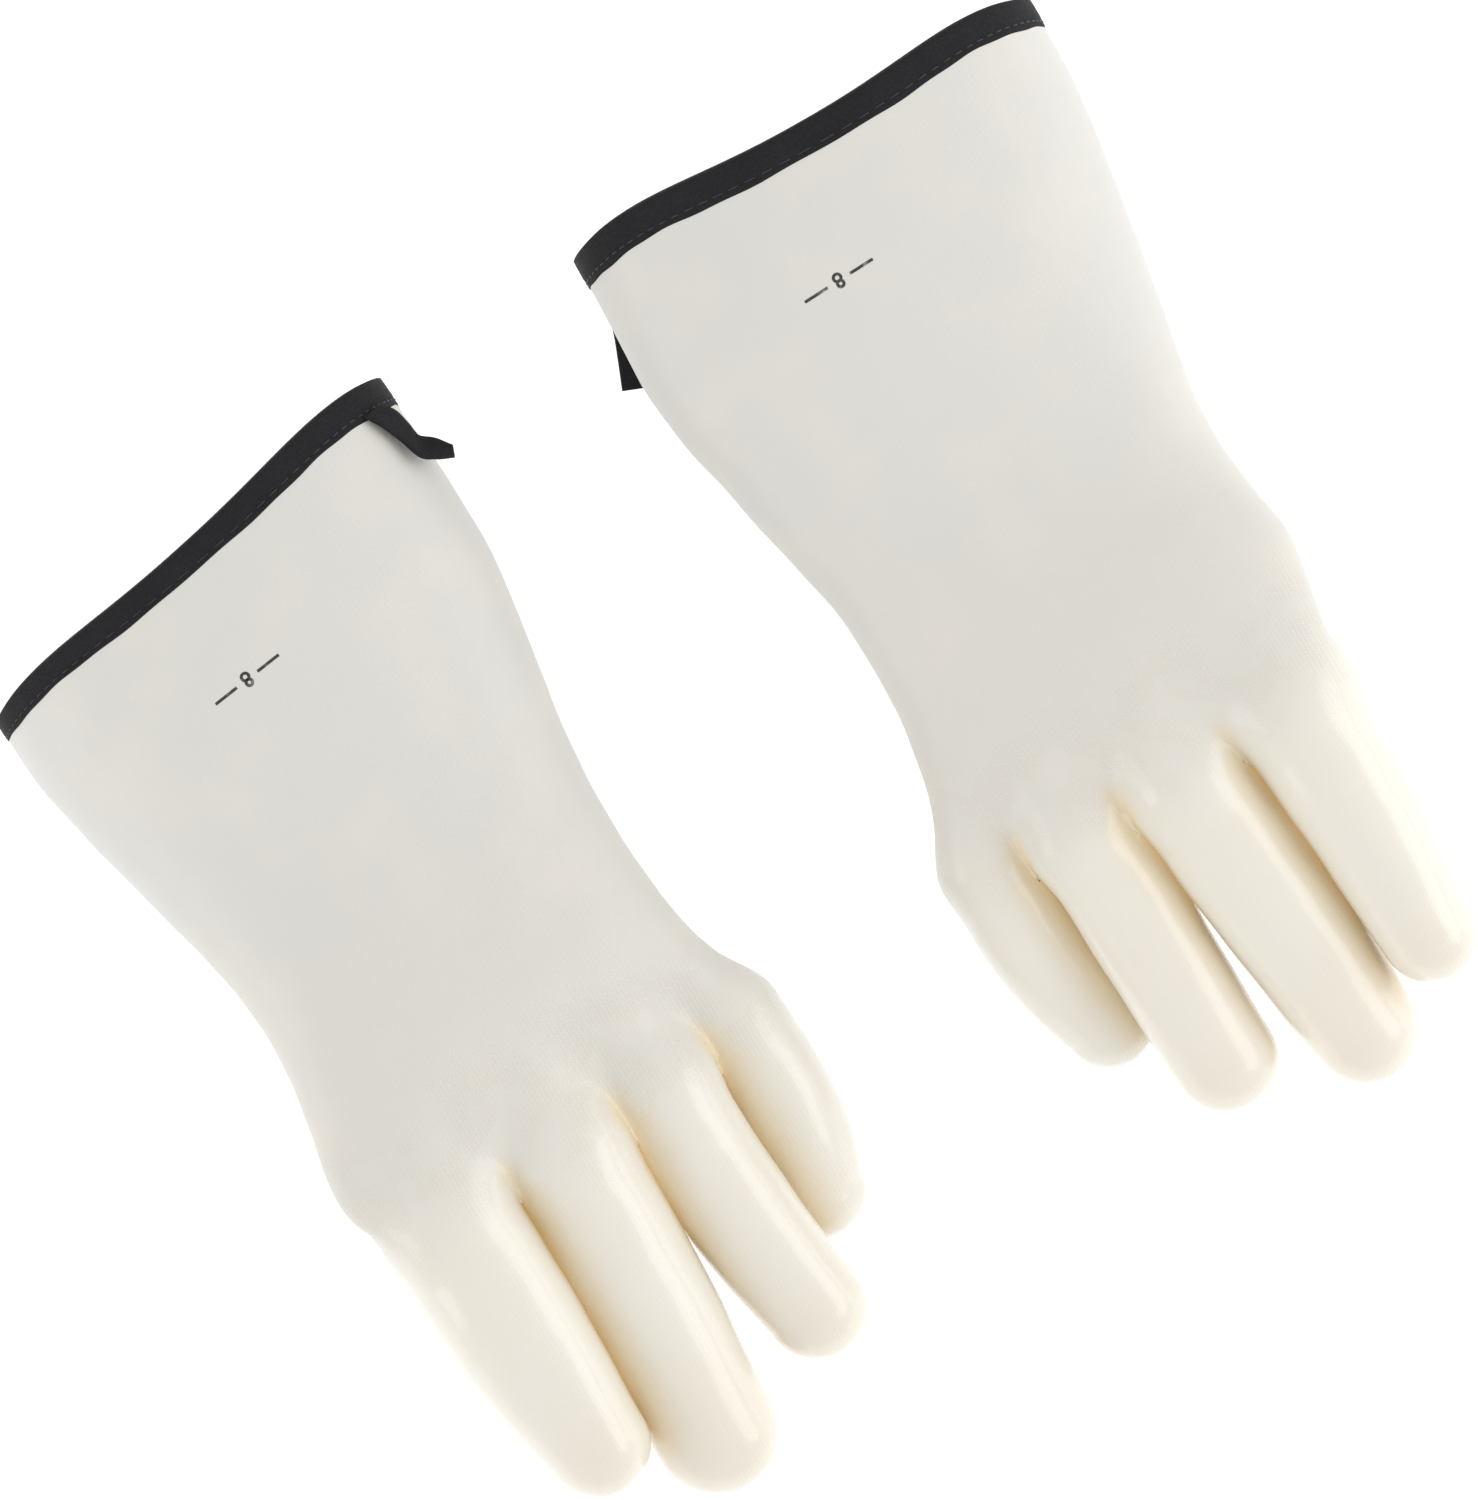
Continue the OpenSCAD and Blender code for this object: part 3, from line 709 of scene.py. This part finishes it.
@functools.lru_cache(maxsize=None)
def tape_material():
    """Black woven bias tape."""
    colours, material, tree, shader, place = new_material("bias_tape")
    mottle = placed(tree, "Mottle", Place=place, Scale=120.0)
    knit = placed(tree, "Knit relief", Place=place, Wale=0.0005, Course=0.00045)
    cloud = ranged(tree, mottle.outputs["Cloud"], 0.3, 0.7)
    colour = mixed(tree, cloud, tuple(colours.tape), shade(colours.tape, 1.25))
    # painted shade: the tape is darker in the hollows of its weave
    gap_shade = math_node(tree, "MULTIPLY", knit.outputs["Gap"], 0.5)
    colour = mixed(tree, gap_shade, colour, shade(colours.tape, 0.4))
    join(tree, (colour, shader.inputs["Base Color"]))
    join(tree, (ranged(tree, mottle.outputs["Grain"], 0.3, 0.7, 0.7, 0.85), shader.inputs["Roughness"]))
    shader.inputs["Specular IOR Level"].default_value = 0.3
    bumped(tree, shader, knit.outputs["Height"], 0.5, 0.0001)
    return material


@functools.lru_cache(maxsize=None)
def thread_material():
    """Twisted black sewing thread, a little shinier than the tape."""
    colours, material, tree, shader, place = new_material("sewing_thread")
    mottle = placed(tree, "Mottle", Place=place, Scale=900.0)
    cloud = ranged(tree, mottle.outputs["Cloud"], 0.3, 0.7)
    colour = mixed(tree, cloud, shade(colours.tape, 1.4), shade(colours.tape, 2.4))
    join(tree, (colour, shader.inputs["Base Color"]))
    shader.inputs["Roughness"].default_value = 0.45
    bumped(tree, shader, mottle.outputs["Grain"], 0.4, 0.00005)
    return material


@functools.lru_cache(maxsize=None)
def lining_material():
    """Plain knitted lining."""
    colours, material, tree, shader, place = new_material("knit_lining")
    mottle = placed(tree, "Mottle", Place=place, Scale=50.0)
    knit = placed(tree, "Knit relief", Place=place, Wale=0.0013, Course=0.001)
    cloud = ranged(tree, mottle.outputs["Cloud"], 0.3, 0.7)
    colour = mixed(tree, cloud, tuple(colours.lining), shade(colours.lining, 0.9))
    # painted shade: the lining is darker in the hollows of its knit
    gap_shade = math_node(tree, "MULTIPLY", knit.outputs["Gap"], 0.45)
    colour = mixed(tree, gap_shade, colour, shade(colours.lining, 0.55))
    join(tree, (colour, shader.inputs["Base Color"]))
    shader.inputs["Roughness"].default_value = 0.85
    shader.inputs["Sheen Weight"].default_value = 0.2
    bumped(tree, shader, knit.outputs["Height"], 0.8, 0.0003)
    return material


@functools.lru_cache(maxsize=None)
def ink_material():
    """Stamped grey-black ink, thin in places."""
    colours, material, tree, shader, place = new_material("stamped_ink")
    mottle = placed(tree, "Mottle", Place=place, Scale=500.0)
    thin = ranged(tree, mottle.outputs["Cloud"], 0.45, 0.8, 0.0, 0.5)
    colour = mixed(tree, thin, tuple(colours.ink), tuple(colours.cuff))
    join(tree, (colour, shader.inputs["Base Color"]))
    shader.inputs["Roughness"].default_value = 0.5
    return material


# ---------------------------------------------------------------- pieces


def ring_piece(side, name, outline, steps, material, body, closed=True):
    """A band carried round the cuff: outline gives [station, depth] pairs, or rows of them per step."""
    angles = np.arange(steps) * math.tau / steps
    outline = np.broadcast_to(np.asarray(outline, float), (steps, *np.shape(outline)[-2:]))
    n = outline.shape[1]
    points = skin_point(side, outline[..., 0], outline[..., 1], angles[:, None]).reshape(-1, 3)
    i, j = np.meshgrid(np.arange(steps), np.arange(n if closed else n - 1), indexing="ij")
    i, j = i.ravel(), j.ravel()
    k, m = (i + 1) % steps, (j + 1) % n
    faces = np.stack([i * n + j, k * n + j, k * n + m, i * n + m], 1)
    return make_piece(side, name, points, faces, material, body=body)


def binding_outline(width, thick, steps, stitches):
    """Section of the folded tape at every step: bottom edge, stitched dip, soft top fold, inside leg."""
    phase = np.arange(steps) / steps
    wave = 0.16 * np.sin(phase * math.tau * 9) + 0.10 * np.sin(phase * math.tau * 23 + 1)
    pinch = 0.5 + 0.5 * np.cos(phase * math.tau * stitches)
    rows = []
    seam = STITCH_INSET - width
    for w, p in zip(wave, pinch):
        low = -width + w
        outer = [(low, -0.05), (low - 0.12, -0.5 * thick), (low + 0.1, -0.9 * thick), (low + 0.5, -thick - 0.06),
                 (seam - 0.5, -thick - 0.04), (seam, -thick + 0.02 + 0.1 * p), (seam + 0.5, -thick - 0.06),
                 (seam + 1.4, -thick - 0.16), (-3.0, -thick - 0.12), (-1.2, -thick - 0.06)]
        top = [(thick * math.sin(a) + 0.1, WALL / 2 - (WALL / 2 + thick) * math.cos(a))
               for a in np.radians((15, 40, 65, 90, 115, 140, 165))]
        inner = [(-1.2, WALL + thick), (-3.5, WALL + thick + 0.05), (seam, WALL + thick - 0.1),
                 (-width - w + 0.3, WALL + thick), (-width - w, WALL + 0.5 * thick), (-width - w, WALL + 0.05)]
        rows.append(outer + top + inner)
    return np.array(rows)


def smooth_path(points, count):
    """Even points on a smooth curve through a few points."""
    points = np.array(points, float)
    t = np.r_[0, np.cumsum(np.linalg.norm(np.diff(points, axis=0), axis=1))]
    at = np.linspace(0, t[-1], count)
    return np.stack([smooth_table(at, t, points[:, i]) for i in range(3)], 1)


# Loose tape ends: their two edges from the binding to the cut end
TAPE_ENDS = {
    "left": ([(-57.2, -0.6, 47.0), (-59.6, -3.4, 45.6), (-60.8, -8.0, 44.8), (-61.4, -11.8, 44.6),
              (-64.6, -14.5, 46.4), (-67.4, -18.6, 46.6)],
             [(-52.6, -1.8, 51.0), (-54.9, -5.7, 50.4), (-57.0, -10.8, 49.3), (-59.4, -17.3, 48.6),
              (-62.4, -19.4, 45.0), (-66.4, -20.9, 41.5)]),
    "right": ([(-60.6, -2.0, 22.6), (-61.6, -8.0, 21.0), (-62.9, -13.6, 19.6), (-65.7, -20.6, 18.0),
               (-68.7, -27.5, 16.4)],
              [(-56.7, -3.6, 17.0), (-57.2, -10.0, 16.0), (-58.3, -16.4, 15.2), (-60.3, -23.4, 14.2),
               (-62.7, -29.9, 13.4)]),
}


def digit_strokes():
    """Strokes of a plain figure eight between two short rules, in millimetres, reading along +X."""
    eight = []
    for cy, rx, ry in ((0.85, 0.80, 0.80), (-0.80, 0.95, 0.92)):
        a = np.linspace(0, math.tau, 33)
        eight.append(np.stack([rx * np.cos(a), cy + ry * np.sin(a)], 1))
    rules = [np.array([(x0, 0.0), (x1, 0.0)]) for x0, x1 in ((-9.8, -3.2), (3.2, 9.8))]
    return eight + rules


def on_back(side, xy):
    """Points on the upper skin over places x, y of the glove's frame."""
    low = np.full(len(xy), 36.0)
    high = np.full(len(xy), 70.0)
    for _ in range(30):
        mid = (low + high) / 2
        inside = glove_field(np.column_stack([xy, mid]), side) < 0
        low, high = np.where(inside, mid, low), np.where(inside, high, mid)
    return np.column_stack([xy, low])


# ---------------------------------------------------------------- add-on


def swatch(name, description, *rgb):
    return FloatVectorProperty(name=name, description=description, subtype="COLOR", default=srgb(*rgb))


def length(name, description, default, low, high):
    return FloatProperty(name=name, description=description, subtype="DISTANCE", default=default, min=low, max=high)


def strength(name, description, default):
    return FloatProperty(name=name, description=description, default=default, min=0)


class GloveColours(bpy.types.PropertyGroup):
    """Colours of the gloves."""

    cuff: swatch("Cuff", "Rubber of the cuff", 224, 222, 217)
    palm: swatch("Hand", "Rubber of the hand", 223, 220, 213)
    finger: swatch("Fingers", "Rubber of the fingers", 240, 235, 223)
    tip: swatch("Fingertips", "Rubber of the fingertips", 240, 232, 217)
    cloud: swatch("Clouds", "Thicker, yellower places in the rubber", 238, 231, 214)
    # painted shade: tan colour between the fingers and in the knit's hollows
    crevice: swatch("Crevices", "Warm colour between the fingers and in the knit's gaps", 238, 222, 190)
    # painted light: colour of the emission beside a higher finger
    painted_glow: swatch("Glow", "Light coming through the rubber beside a higher finger", 226, 200, 150)
    tape: swatch("Tape", "Binding tape", 28, 28, 31)
    lining: swatch("Lining", "Knitted lining", 222, 221, 216)
    ink: swatch("Ink", "Size mark", 58, 55, 52)
    floor: swatch("Floor", "Floor under the gloves", 244, 244, 244)


class GloveSizes(bpy.types.PropertyGroup):
    """Sizes of the trim."""

    tape_width: length("Tape width", "Width of the tape outside the cuff", 0.0072, 0.005, 0.009)
    tape_thickness: length("Tape thickness", "Thickness of one layer", 0.0009, 0.0006, 0.0012)
    stitches: IntProperty(name="Stitches", description="Stitches round one cuff", default=92, min=60, max=110)
    thread: length("Thread", "Diameter of the thread", 0.00045, 0.0003, 0.0008)
    mark_stroke: length("Mark stroke", "Stroke width of the size mark", 0.00074, 0.0003, 0.001)


class GloveStage(bpy.types.PropertyGroup):
    """Camera and light."""

    distance: length("Camera distance", "From the camera to the gloves", 2.2, 0.8, 6)
    field: length("Field", "Height of the picture at the gloves", 0.37125, 0.2, 1)
    key: strength("Key lamp", "Power of the long lamp beside the thumbs in watts", 2.8)
    fill: strength("Fill lamp", "Power of the lamp on the other side in watts", 3.1)
    strip: strength("Strip lamp", "Power of the low strip lamp in watts", 2.0)
    horizon: strength("Horizon", "Strength of the even light from the sides", 0.97)
    zenith: strength("Zenith", "Strength of the even light from above", 0.74)


# Point over which the camera stands, the way the picture's up points, and each lamp's place and size
VIEWED = (-0.0008, 0.013, 0.031)
PICTURE_UP = (0.519, 0.855)
LAMPS = {
    "key": ((0.85, -0.4, 0.6), (1.0, 0.5)),
    "fill": ((-1.3, 0.3, 0.55), (1.2, 0.6)),
    "strip": ((1.6, -0.1, 0.22), (1.6, 0.3)),
}
FLOOR_HALF = 4
FLOOR_SEEN = 0.62


class GLOVE_OT_stage(bpy.types.Operator):
    """Adds the camera, the floor, the lamps and the even light"""

    bl_idname = "glove.stage"
    bl_label = "Stage"

    def execute(self, context):
        scene = context.scene
        stage = scene.glove_stage
        camera = bpy.data.objects.new("camera", bpy.data.cameras.new("camera"))
        camera.location = (VIEWED[0], VIEWED[1], VIEWED[2] + stage.distance)
        camera.rotation_euler = (0, 0, -math.atan2(*PICTURE_UP))
        camera.data.lens = camera.data.sensor_width * stage.distance / stage.field
        scene.collection.objects.link(camera)
        scene.camera = camera

        mesh = bpy.data.meshes.new("floor")
        corners = [(x * FLOOR_HALF, y * FLOOR_HALF, 0) for x, y in ((-1, -1), (1, -1), (1, 1), (-1, 1))]
        mesh.from_pydata(corners, [], [(0, 1, 2, 3)])
        floor = bpy.data.objects.new("floor", mesh)
        scene.collection.objects.link(floor)
        material = bpy.data.materials.new("pale_floor")
        material.use_nodes = True
        tree = material.node_tree
        shader = tree.nodes["Principled BSDF"]
        shader.inputs["Base Color"].default_value = (*scene.glove_colours.floor, 1)
        shader.inputs["Roughness"].default_value = 0.9
        shader.inputs["Specular IOR Level"].default_value = 0.0
        path = tree.nodes.new("ShaderNodeLightPath")
        seen = math_node(tree, "MAXIMUM", path.outputs["Is Camera Ray"], path.outputs["Is Glossy Ray"])
        join(tree, (math_node(tree, "MULTIPLY", seen, FLOOR_SEEN), shader.inputs["Emission Strength"]))
        shader.inputs["Emission Color"].default_value = (1, 1, 1, 1)
        mesh.materials.append(material)

        for name, (place, size) in LAMPS.items():
            lamp = bpy.data.lights.new(name, "AREA")
            lamp.shape = "RECTANGLE"
            lamp.size, lamp.size_y = size
            lamp.energy = getattr(stage, name)
            holder = bpy.data.objects.new(name, lamp)
            holder.location = place
            holder.rotation_mode = "QUATERNION"
            holder.rotation_quaternion = (-Vector(place)).to_track_quat("-Z", "Y")
            scene.collection.objects.link(holder)
        scene.world = bpy.data.worlds.new("even_light")
        scene.world.use_nodes = True
        tree = scene.world.node_tree
        place = tree.nodes.new("ShaderNodeTexCoord")
        split = tree.nodes.new("ShaderNodeSeparateXYZ")
        join(tree, (place.outputs["Generated"], split.inputs[0]))
        light = ranged(tree, split.outputs["Z"], 0.0, 1.0, stage.horizon, stage.zenith)
        path = tree.nodes.new("ShaderNodeLightPath")
        shown = math_node(tree, "MAXIMUM", light, path.outputs["Is Camera Ray"])
        background = tree.nodes["Background"]
        background.inputs["Color"].default_value = (1, 1, 1, 1)
        join(tree, (shown, background.inputs["Strength"]))
        scene.view_settings.view_transform = "Standard"
        return {"FINISHED"}


class GLOVE_OT_finishes(bpy.types.Operator):
    """Builds the node groups that the finishes share"""

    bl_idname = "glove.finishes"
    bl_label = "Finishes"

    def execute(self, context):
        knit_group()
        mottle_group()
        return {"FINISHED"}


class GLOVE_OT_skins(bpy.types.Operator):
    """Adds the rubber skins of cuff and hand"""

    bl_idname = "glove.skins"
    bl_label = "Cuff and hand"

    def execute(self, context):
        for side in SIDES:
            cuff = skin_piece(side, "cuff_skin", "cuff", rubber_material())
            stand_for(cuff, side, "cuff_shell")
            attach(cuff, f"{side}_cuff")
            hand = skin_piece(side, "hand_skin", "hand", rubber_material())
            stand_for(hand, side, "hand_shell", "wrist_fold", "knuckle_folds", "thumb_fold")
            bend(hand, side, "hand", "cuff", *WRIST_BEND)
        return {"FINISHED"}


class GLOVE_OT_fingers(bpy.types.Operator):
    """Adds the rubber skins of fingers and thumb"""

    bl_idname = "glove.fingers"
    bl_label = "Fingers"

    def execute(self, context):
        for side in SIDES:
            for name, finger in FINGERS[side].items():
                start = finger.point(finger.seam + 2.2)
                if name == "thumb":
                    thumb = skin_piece(side, "thumb_skin", "thumb", rubber_material())
                    stand_for(thumb, side, "thumb_shell", "thumb_lining")
                    bend(thumb, side, "hand", "thumb", start, finger.point(17))
                    continue
                lower = skin_piece(side, f"{name}_lower_skin", f"{name}_lower", rubber_material())
                stand_for(lower, side, f"{name}_lower_shell", f"{name}_joint_fold", f"{name}_lining")
                bend(lower, side, "hand", f"{name}_lower", start, finger.point(min(18, finger.joint - 11)))
                tip = skin_piece(side, f"{name}_tip_skin", f"{name}_tip", rubber_material())
                stand_for(tip, side, f"{name}_tip_shell")
                bend(tip, side, f"{name}_lower", f"{name}_tip", finger.point(finger.joint - 7),
                     finger.point(finger.joint + 8))
        return {"FINISHED"}


class GLOVE_OT_lining(bpy.types.Operator):
    """Adds the knitted lining of cuff and palm"""

    bl_idname = "glove.lining"
    bl_label = "Lining"

    def execute(self, context):
        stations = [-14, -6, -0.4, -0.1, -0.4] + list(np.linspace(-6, -166, 56)) + [-171, -174, -176]
        depths = [1.6, 1.6, 1.7, 2.1, 2.55] + [WALL] * 56 + [4.5, 7.2, 9.2]
        for side in SIDES:
            lining = ring_piece(side, "palm_and_cuff_lining", np.column_stack([stations, depths]), 160,
                                lining_material(), None, closed=False)
            stand_for(lining, side, "cuff_lining", "palm_lining")
            bend(lining, side, "hand", "cuff", *WRIST_BEND)
        return {"FINISHED"}


class GLOVE_OT_binding(bpy.types.Operator):
    """Adds the tape folded over the cuff's edge"""

    bl_idname = "glove.binding"
    bl_label = "Binding"

    def execute(self, context):
        sizes = context.scene.glove_sizes
        steps = sizes.stitches * 4
        for side in SIDES:
            outline = binding_outline(sizes.tape_width / MM, sizes.tape_thickness / MM, steps, sizes.stitches)
            binding = ring_piece(side, "cuff_binding_tape", outline, steps, tape_material(), "cuff")
            stand_for(binding, side, "cuff_binding")
        return {"FINISHED"}


class GLOVE_OT_stitches(bpy.types.Operator):
    """Adds the row of stitches on each binding"""

    bl_idname = "glove.stitches"
    bl_label = "Stitches"

    def execute(self, context):
        sizes = context.scene.glove_sizes
        radius = sizes.thread / MM / 2
        thick = sizes.tape_thickness / MM
        station = STITCH_INSET - sizes.tape_width / MM
        profile = ((0.0, 0.3), (0.1, 0.9), (0.5, 1.0), (0.9, 0.9), (1.0, 0.3))
        ring = 8
        for side in SIDES:
            points, faces = [], []
            for i in range(sizes.stitches):
                for t, share in profile:
                    angle = (i + 0.18 + 0.64 * t) * math.tau / sizes.stitches
                    dip = 0.10 * (2 * t - 1) ** 2
                    base = len(points)
                    for k in range(ring):
                        a = k * math.tau / ring
                        points.append(skin_point(side, station + radius * share * math.cos(a),
                                                 -thick + dip + radius * share * math.sin(a), angle))
                    if t < 1:
                        faces += [(base + k, base + ring + k, base + ring + (k + 1) % ring, base + (k + 1) % ring)
                                  for k in range(ring)]
            thread = make_piece(side, "binding_stitches", np.array(points), faces, thread_material(), body="cuff")
            stand_for(thread, side, "binding_thread")
        return {"FINISHED"}


class GLOVE_OT_tape_ends(bpy.types.Operator):
    """Adds the loose end of each binding"""

    bl_idname = "glove.tape_ends"
    bl_label = "Tape ends"

    def execute(self, context):
        thick = context.scene.glove_sizes.tape_thickness / MM
        rows, section = 48, ((0.0, 0.3), (0.03, 0.48), (0.25, 0.55), (0.5, 0.5), (0.75, 0.55), (0.97, 0.48), (1.0, 0.3))
        section += tuple((u, -v) for u, v in section[::-1])
        n = len(section)
        for side, edges in TAPE_ENDS.items():
            a, b = (smooth_path(edge, rows) for edge in edges)
            across = b - a
            normal = np.cross(np.gradient((a + b) / 2, axis=0), across)
            normal /= np.linalg.norm(normal, axis=1)[:, None]
            points = np.stack([a + u * across + v * thick * normal for u, v in section], 1).reshape(-1, 3)
            faces = [(i * n + j, i * n + (j + 1) % n, (i + 1) * n + (j + 1) % n, (i + 1) * n + j)
                     for i in range(rows - 1) for j in range(n)]
            faces += [(base + j, base + j + 1, base + n - 2 - j, base + n - 1 - j)
                      for base in (0, (rows - 1) * n) for j in range(n // 2 - 1)]
            tape = make_piece(side, "loose_tape_end", points, faces, tape_material())
            stand_for(tape, side, "binding_tail")
            middle = (a + b) / 2
            bend(tape, side, "cuff", "tail", middle[1], middle[8])
        return {"FINISHED"}


class GLOVE_OT_size_mark(bpy.types.Operator):
    """Adds the stamped size figure on the back of each cuff"""

    bl_idname = "glove.size_mark"
    bl_label = "Size mark"

    # centre of the mark, and its reading direction on the glove's frame in degrees
    PLACES = {"left": ((5.0, -42.0), -7.0), "right": ((-10.0, -33.7), 181.3)}

    def execute(self, context):
        half = context.scene.glove_sizes.mark_stroke / MM / 2
        for side, (centre, degrees) in self.PLACES.items():
            a = math.radians(degrees)
            way = np.array([math.cos(a), math.sin(a)])
            up = np.array([0.0, -1.0])
            up -= (up @ way) * way
            up /= np.linalg.norm(up)
            flat, faces = [], []
            for stroke in digit_strokes():
                fine = np.concatenate([np.linspace(p, q, 6, endpoint=False) for p, q in zip(stroke[:-1], stroke[1:])]
                                      + [stroke[-1:]])
                ahead = np.gradient(fine, axis=0)
                ahead /= np.linalg.norm(ahead, axis=1)[:, None]
                aside = np.stack([-ahead[:, 1], ahead[:, 0]], 1) * half
                base = len(flat)
                for p, s in zip(fine, aside):
                    flat += [p - s, p + s]
                faces += [(base + 2 * i, base + 2 * i + 2, base + 2 * i + 3, base + 2 * i + 1)
                          for i in range(len(fine) - 1)]
            flat = np.array(flat)
            places = np.array(centre) + flat[:, :1] * way + flat[:, 1:] * up
            points = on_back(side, places)
            slope = field_slope(points, side)
            points = points + 0.05 * slope / np.linalg.norm(slope, axis=1)[:, None]
            make_piece(side, "size_mark", points, faces, ink_material(), body="cuff")
        return {"FINISHED"}


STEPS = (GLOVE_OT_stage, GLOVE_OT_finishes, GLOVE_OT_skins, GLOVE_OT_fingers, GLOVE_OT_lining, GLOVE_OT_binding,
         GLOVE_OT_stitches, GLOVE_OT_tape_ends, GLOVE_OT_size_mark)


class GLOVE_PT_panel(bpy.types.Panel):
    """Lists the steps and the values that may be changed"""

    bl_idname = "GLOVE_PT_panel"
    bl_label = "Insulating gloves"
    bl_space_type = "VIEW_3D"
    bl_region_type = "UI"
    bl_category = "Gloves"

    def draw(self, context):
        for group_name in ("glove_colours", "glove_sizes", "glove_stage"):
            values = getattr(context.scene, group_name)
            for key in values.bl_rna.properties.keys():
                if key not in ("rna_type", "name"):
                    self.layout.prop(values, key)
        for step in STEPS:
            self.layout.operator(step.bl_idname)


CLASSES = (GloveColours, GloveSizes, GloveStage, *STEPS, GLOVE_PT_panel)


def register():
    for item in CLASSES:
        bpy.utils.register_class(item)
    bpy.types.Scene.glove_colours = PointerProperty(type=GloveColours)
    bpy.types.Scene.glove_sizes = PointerProperty(type=GloveSizes)
    bpy.types.Scene.glove_stage = PointerProperty(type=GloveStage)


def unregister():
    for name in ("glove_colours", "glove_sizes", "glove_stage"):
        delattr(bpy.types.Scene, name)
    for item in reversed(CLASSES):
        bpy.utils.unregister_class(item)


def main():
    register()
    for step in STEPS:
        group_name, name = step.bl_idname.split(".")
        getattr(getattr(bpy.ops, group_name), name)()


if __name__ == "__main__":
    main()
